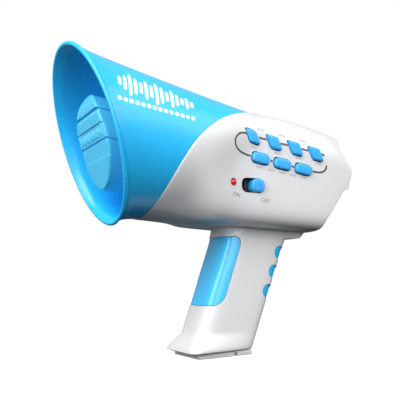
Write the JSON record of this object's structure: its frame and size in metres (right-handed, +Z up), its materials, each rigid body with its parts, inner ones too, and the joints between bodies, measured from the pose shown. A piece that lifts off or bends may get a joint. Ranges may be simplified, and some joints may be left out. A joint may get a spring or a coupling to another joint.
{
  "type": "toy megaphone",
  "caption": "Battery toy voice-changer megaphone: slanted horn, pistol grip, push buttons, sliding power switch and lift-off battery door in the foot.",
  "frame": {"origin": "centre of the foot's resting face", "axes": "horn points along -Y, the button panel is on +X (the user's left), +Z up"},
  "size_m": [0.1126, 0.2203, 0.2186],
  "materials": {
    "shell_blue": "glossy moulded ABS, bright sky blue",
    "body_white": "glossy moulded ABS, white",
    "grip_blue": "soft blue thermoplastic rubber, satin",
    "button_blue": "satin moulded ABS, light blue",
    "led_red": "clear red epoxy lens, lit",
    "silicone": "grey silicone key mat",
    "board_green": "green solder mask on fibreglass",
    "black_plastic": "black moulded plastic and epoxy",
    "black_rubber": "black rubber and foam",
    "cone_paper": "dark pressed paper cone",
    "steel": "zinc-plated steel",
    "cell_jacket": "plain printed shrink sleeve",
    "wire_red": "red PVC insulation",
    "wire_black": "black PVC insulation"
  },
  "bodies": {
    "housing": {"horn_bell": "shell_blue", "horn_plug": "shell_blue", "body_shell_left": "body_white", "body_shell_right": "body_white", "front_grip_panel": "shell_blue", "rear_grip_strip": "grip_blue", "mouthpiece_cap": "shell_blue", "mic_capsule": "steel", "mic_boot": "black_rubber", "slide_switch": "black_plastic", "power_led": "led_red", "button_membrane": "silicone", "main_board": "board_green", "sound_chip": "black_plastic", "filter_capacitor": "black_plastic", "board_screw_1": "steel", "board_screw_2": "steel", "board_screw_3": "steel", "speaker_frame": "steel", "speaker_cone": "cone_paper", "speaker_magnet": "black_plastic", "speaker_gasket": "black_rubber", "speaker_screw_1": "steel", "speaker_screw_2": "steel", "speaker_screw_3": "steel", "battery_cell_1": "cell_jacket", "battery_spring_1": "steel", "battery_contact_1": "steel", "battery_cell_2": "cell_jacket", "battery_spring_2": "steel", "battery_contact_2": "steel", "battery_cell_3": "cell_jacket", "battery_spring_3": "steel", "battery_contact_3": "steel", "battery_cage": "black_plastic", "housing_screw_1": "steel", "housing_screw_2": "steel", "housing_screw_3": "steel", "housing_screw_4": "steel", "housing_screw_5": "steel", "housing_screw_6": "steel", "speaker_wire_red": "wire_red", "speaker_wire_black": "wire_black", "mic_wire_red": "wire_red", "mic_wire_black": "wire_black", "battery_wire_red": "wire_red", "battery_wire_black": "wire_black"},
    "effect_key_1": {"effect_button_1": "button_blue"},
    "effect_key_2": {"effect_button_2": "button_blue"},
    "effect_key_3": {"effect_button_3": "button_blue"},
    "effect_key_4": {"effect_button_4": "button_blue"},
    "melody_key_1": {"melody_button_1": "button_blue"},
    "melody_key_2": {"melody_button_2": "button_blue"},
    "melody_key_3": {"melody_button_3": "button_blue"},
    "slider": {"power_slider": "button_blue"},
    "door": {"battery_door": "body_white", "battery_door_screw": "steel"}
  },
  "joints": [
    {"name": "effect_press_1", "type": "slide", "parent": "housing", "child": "effect_key_1", "axis": [-1, 0, 0], "range_m": [0, 0.0012], "stiffness_N_per_m": 600, "springref_m": -0.0008},
    {"name": "effect_press_2", "type": "slide", "parent": "housing", "child": "effect_key_2", "axis": [-1, 0, 0], "range_m": [0, 0.0012], "stiffness_N_per_m": 600, "springref_m": -0.0008},
    {"name": "effect_press_3", "type": "slide", "parent": "housing", "child": "effect_key_3", "axis": [-1, 0, 0], "range_m": [0, 0.0012], "stiffness_N_per_m": 600, "springref_m": -0.0008},
    {"name": "effect_press_4", "type": "slide", "parent": "housing", "child": "effect_key_4", "axis": [-1, 0, 0], "range_m": [0, 0.0012], "stiffness_N_per_m": 600, "springref_m": -0.0008},
    {"name": "melody_press_1", "type": "slide", "parent": "housing", "child": "melody_key_1", "axis": [-1, 0, 0], "range_m": [0, 0.0012], "stiffness_N_per_m": 600, "springref_m": -0.0008},
    {"name": "melody_press_2", "type": "slide", "parent": "housing", "child": "melody_key_2", "axis": [-1, 0, 0], "range_m": [0, 0.0012], "stiffness_N_per_m": 600, "springref_m": -0.0008},
    {"name": "melody_press_3", "type": "slide", "parent": "housing", "child": "melody_key_3", "axis": [-1, 0, 0], "range_m": [0, 0.0012], "stiffness_N_per_m": 600, "springref_m": -0.0008},
    {"name": "power_slide", "type": "slide", "parent": "housing", "child": "slider", "axis": [0, -1, 0], "range_m": [0, 0.0075]},
    {"name": "door_lift_off", "type": "slide", "parent": "housing", "child": "door", "axis": [0, 0, -1], "range_m": [0, 0.03]}
  ]
}
